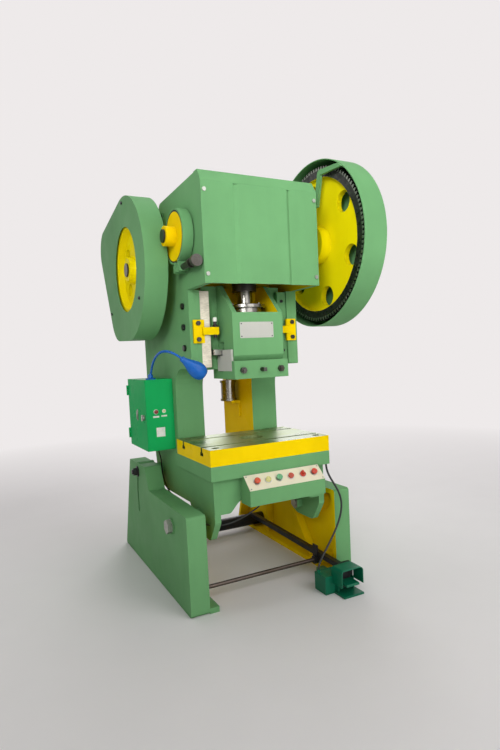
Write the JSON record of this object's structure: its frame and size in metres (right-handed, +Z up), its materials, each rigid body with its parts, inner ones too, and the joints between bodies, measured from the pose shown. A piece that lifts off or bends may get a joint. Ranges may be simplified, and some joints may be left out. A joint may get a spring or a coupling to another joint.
{
  "type": "workshop press",
  "caption": "Open-back inclinable power press: C-frame on cast legs with flywheel, bull gear, crank-driven slide, T-slotted bolster, control box and foot switch.",
  "frame": {"origin": "centre of the four floor bolt holes, at the floor", "axes": "+Z up, +X to the right of a person standing in front, +Y to the back of the machine"},
  "size_m": [1.018, 1.4319, 2.1219],
  "materials": {
    "green_paint": "satin enamel",
    "bright_green_paint": "satin enamel",
    "yellow_paint": "gloss enamel",
    "black_paint": "satin enamel",
    "blue_paint": "gloss enamel",
    "switch_green": "satin enamel",
    "oiled_steel": "oiled",
    "black_steel": "black oxide",
    "bare_steel": "machined",
    "chrome": "polished",
    "bronze": "machined",
    "lining": "matte",
    "rubber": "matte",
    "panel_plate": "satin",
    "red_plastic": "gloss",
    "green_plastic": "gloss"
  },
  "bodies": {
    "base": {"left_leg": "green_paint", "right_leg": "green_paint", "rear_tie_tube": "black_paint", "pedal_shaft": "black_paint", "pivot_bolts": "black_steel", "footswitch_base": "switch_green", "footswitch_hood": "switch_green", "footswitch_cable": "rubber"},
    "treadle": {"footswitch_treadle": "black_steel"},
    "pedal": {"pedal_lever": "black_paint"},
    "frame": {"left_side_plate": "green_paint", "right_side_plate": "green_paint", "left_upright": "green_paint", "right_upright": "green_paint", "table_block": "green_paint", "head_box": "yellow_paint", "tilt_bolts": "black_steel", "bolster_plate": "yellow_paint", "head_cover": "green_paint", "left_gib": "bare_steel", "right_gib": "bare_steel", "frame_bolts": "black_steel", "knockout_stops": "yellow_paint", "stop_screws": "black_steel", "crank_bushes": "bronze", "shaft_bearings": "bare_steel", "brake_band": "green_paint", "brake_lining": "lining", "brake_adjuster": "black_steel", "gear_guard": "green_paint", "belt_guard": "green_paint", "v_belts": "rubber", "motor": "green_paint", "motor_bracket": "green_paint", "clutch_cylinder": "chrome", "electrical_box": "bright_green_paint", "work_lamp_neck": "blue_paint", "work_lamp_shade": "blue_paint", "control_box": "green_paint", "control_panel": "panel_plate"},
    "crank": {"crankshaft": "bare_steel", "brake_drum": "yellow_paint"},
    "gear": {"bull_gear": "yellow_paint"},
    "drive": {"drive_shaft": "bare_steel", "flywheel": "yellow_paint"},
    "pulley": {"motor_pulley": "black_steel"},
    "rod": {"connecting_rod": "black_steel", "crank_pin": "bare_steel"},
    "ram": {"slide": "green_paint", "shank_clamp": "green_paint", "clamp_bolts": "black_steel", "ball_cap": "chrome"},
    "screw": {"ball_screw": "chrome"},
    "knockout": {"knockout_bar": "bare_steel"},
    "door": {"cabinet_door": "bright_green_paint"},
    "lock": {"door_lock": "black_steel"},
    "button_1": {"left_button": "red_plastic"},
    "button_2": {"start_button": "green_plastic"},
    "button_3": {"stop_button": "red_plastic"},
    "selector": {"mode_selector": "red_plastic"}
  },
  "joints": [
    {"name": "frame_tilt", "type": "hinge", "parent": "base", "child": "frame", "pos_m": [0, -0.37, 0.362], "axis": [-1, 0, 0], "range_deg": [0, 8]},
    {"name": "ram_stroke", "type": "slide", "parent": "frame", "child": "rod", "axis": [0, 0, -1], "range_m": [0, 0.08]},
    {"name": "crank_turn", "type": "hinge", "parent": "frame", "child": "crank", "pos_m": [0, -0.37, 1.7], "axis": [1, 0, 0], "continuous": true},
    {"name": "flywheel_spin", "type": "hinge", "parent": "frame", "child": "drive", "pos_m": [0, 0.06304, 1.61661], "axis": [1, 0, 0], "continuous": true},
    {"name": "gear_spin", "type": "hinge", "parent": "frame", "child": "gear", "pos_m": [0, -0.37, 1.7], "axis": [1, 0, 0], "continuous": true},
    {"name": "pulley_spin", "type": "hinge", "parent": "frame", "child": "pulley", "pos_m": [0, 0.52, 1.8], "axis": [1, 0, 0], "continuous": true},
    {"name": "height_adjust", "type": "slide", "parent": "rod", "child": "ram", "axis": [0, 0, 1], "range_m": [-0.03, 0.03]},
    {"name": "screw_turn", "type": "hinge", "parent": "ram", "child": "screw", "pos_m": [0, -0.37, 1.3], "axis": [0, 0, 1], "range_deg": [-1080, 1080]},
    {"name": "knockout_lift", "type": "slide", "parent": "ram", "child": "knockout", "axis": [0, 0, 1], "range_m": [0, 0.02]},
    {"name": "pedal_press", "type": "hinge", "parent": "base", "child": "pedal", "pos_m": [0.32, -0.448, 0.065], "axis": [1, 0, 0], "range_deg": [0, 2.5]},
    {"name": "treadle_press", "type": "hinge", "parent": "base", "child": "treadle", "pos_m": [0.291, -0.713, 0.054], "axis": [1, 0, 0], "range_deg": [0, 8], "stiffness_Nm_per_rad": 4, "springref_deg": -8.59},
    {"name": "door_swing", "type": "hinge", "parent": "frame", "child": "door", "pos_m": [-0.4464, 0.281, 0.855], "axis": [0, 0, -1], "range_deg": [0, 110]},
    {"name": "lock_turn", "type": "hinge", "parent": "door", "child": "lock", "pos_m": [-0.4419, -0.032, 0.8439], "axis": [1, 0, 0], "range_deg": [0, 90]},
    {"name": "selector_turn", "type": "hinge", "parent": "frame", "child": "selector", "pos_m": [0.134, -0.6235, 0.569], "axis": [0, 0.6773, -0.7357], "range_deg": [-45, 45]},
    {"name": "button_1_press", "type": "slide", "parent": "frame", "child": "button_1", "axis": [0, 0.6773, -0.7357], "range_m": [0, 0.005], "stiffness_N_per_m": 900, "springref_m": -0.003},
    {"name": "button_2_press", "type": "slide", "parent": "frame", "child": "button_2", "axis": [0, 0.6773, -0.7357], "range_m": [0, 0.005], "stiffness_N_per_m": 900, "springref_m": -0.003},
    {"name": "button_3_press", "type": "slide", "parent": "frame", "child": "button_3", "axis": [0, 0.6773, -0.7357], "range_m": [0, 0.005], "stiffness_N_per_m": 900, "springref_m": -0.003}
  ],
  "couplings": [
    {"joint": "crank_turn", "follows": "ram_stroke", "rad_per_m": 39.27},
    {"joint": "gear_spin", "follows": "flywheel_spin", "ratio": -0.14546},
    {"joint": "pulley_spin", "follows": "flywheel_spin", "ratio": 4.3824},
    {"joint": "height_adjust", "follows": "screw_turn", "m_per_rad": 0.0015915}
  ]
}
